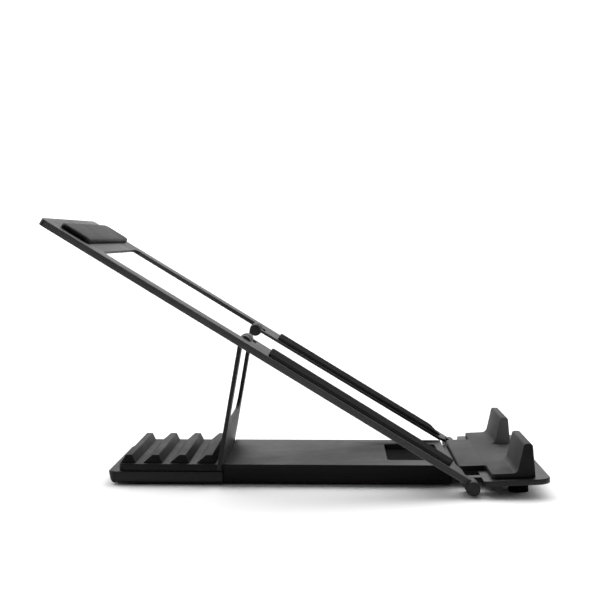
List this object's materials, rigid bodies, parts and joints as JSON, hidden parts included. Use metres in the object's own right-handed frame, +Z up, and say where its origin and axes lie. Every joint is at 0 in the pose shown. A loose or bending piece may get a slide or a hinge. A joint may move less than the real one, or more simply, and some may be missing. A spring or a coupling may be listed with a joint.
{
  "type": "laptop stand",
  "caption": "Folding laptop stand: low base with toothed rest, hinged support frame with grip strips, U-shaped strut and front hooks.",
  "frame": {"origin": "middle of the stand's outer box on the table surface", "axes": "+X towards the user (the hook end), +Y across to the user's right, +Z up"},
  "size_m": [0.2498, 0.1186, 0.1365],
  "materials": {
    "housing": "satin moulded plastic",
    "rest": "satin moulded plastic",
    "frame": "satin powder coat on steel sheet",
    "plate": "satin powder coat on steel sheet",
    "soft_pad": "matt soft elastomer",
    "rubber": "matt fine-grained rubber",
    "pin": "blackened steel",
    "screw": "black oxide steel"
  },
  "bodies": {
    "base": {"base_tray": "housing", "base_cover": "housing", "toothed_rest": "rest", "base_plate": "plate", "hook_pad": "soft_pad", "head_foot_left": "rubber", "rear_foot_left": "rubber", "mid_foot_left": "rubber", "hinge_pin_left": "pin", "hinge_clip_left": "pin", "hook_screw_left": "screw", "rest_screw_left_1": "screw", "rest_screw_left_2": "screw", "cover_screw_left_1": "screw", "cover_screw_left_2": "screw", "head_foot_right": "rubber", "rear_foot_right": "rubber", "mid_foot_right": "rubber", "hinge_pin_right": "pin", "hinge_clip_right": "pin", "hook_screw_right": "screw", "rest_screw_right_1": "screw", "rest_screw_right_2": "screw", "cover_screw_right_1": "screw", "cover_screw_right_2": "screw"},
    "frame": {"support_frame": "frame", "top_rest_pad": "soft_pad", "grip_strip_left": "rubber", "grip_strip_right": "rubber", "strut_pin_left": "pin", "strut_pin_right": "pin"},
    "strut": {"strut": "frame"}
  },
  "joints": [
    {"name": "frame_hinge", "type": "hinge", "parent": "base", "child": "frame", "pos_m": [0.08667, 0, 0.0046], "axis": [0, 1, 0], "range_deg": [0, 60]},
    {"name": "strut_hinge", "type": "hinge", "parent": "frame", "child": "strut", "pos_m": [-0.02535, 0, 0.07442], "axis": [0, 1, 0], "range_deg": [0, 111.5]}
  ],
  "couplings": [
    {"joint": "strut_hinge", "follows": "frame_hinge", "ratio": 1.8583}
  ]
}
